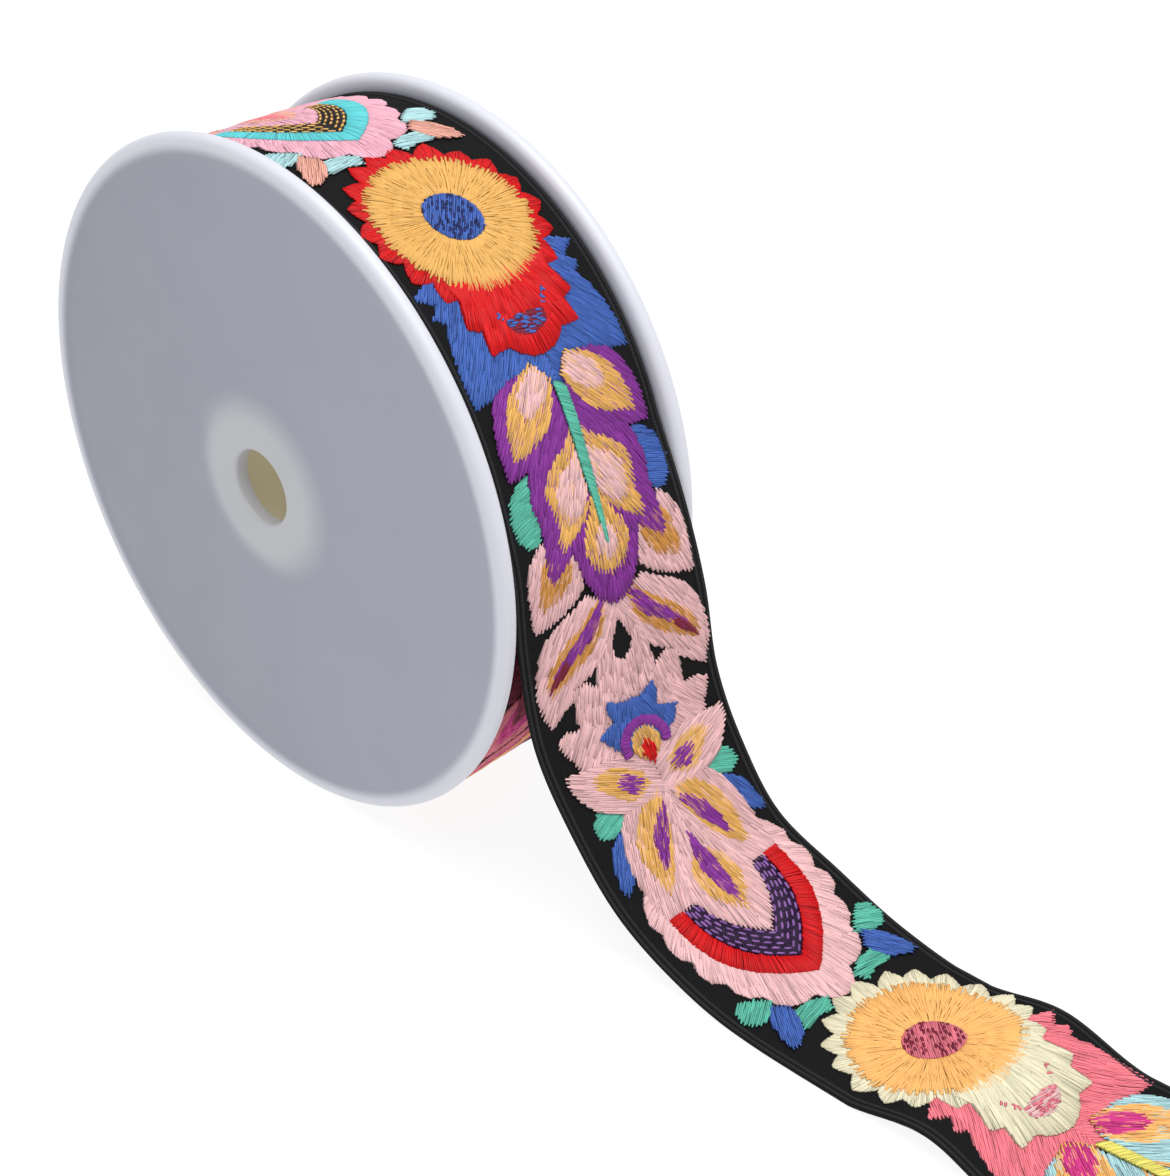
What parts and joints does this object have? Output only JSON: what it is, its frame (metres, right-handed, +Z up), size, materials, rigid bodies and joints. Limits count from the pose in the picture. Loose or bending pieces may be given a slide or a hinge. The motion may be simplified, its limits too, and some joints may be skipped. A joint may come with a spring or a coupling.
{
  "type": "roll of embroidered trim on a flanged spool",
  "caption": "Wide floral embroidered trim wound on a flanged spool, its loose end run down and out along the surface; it is unwound, cut to length and sewn on as an edging.",
  "frame": {"origin": "under the middle of the whole object's box, on the surface that it stands on", "axes": "+Z up, +Y along the spool's axis towards the back flange, +X the way the loose end runs out"},
  "size_m": [0.315, 0.0644, 0.1657],
  "materials": {
    "spool_plastic": "satin",
    "core_plastic": "satin",
    "wound_trim": "black woven edges of the wound turns",
    "trim_cloth": "black twill with many-coloured satin stitch flowers and leaves"
  },
  "bodies": {
    "root": {"flange_front": "spool_plastic", "flange_back": "spool_plastic", "core": "core_plastic", "trim_roll": "wound_trim", "loose_end": "trim_cloth"}
  },
  "joints": []
}
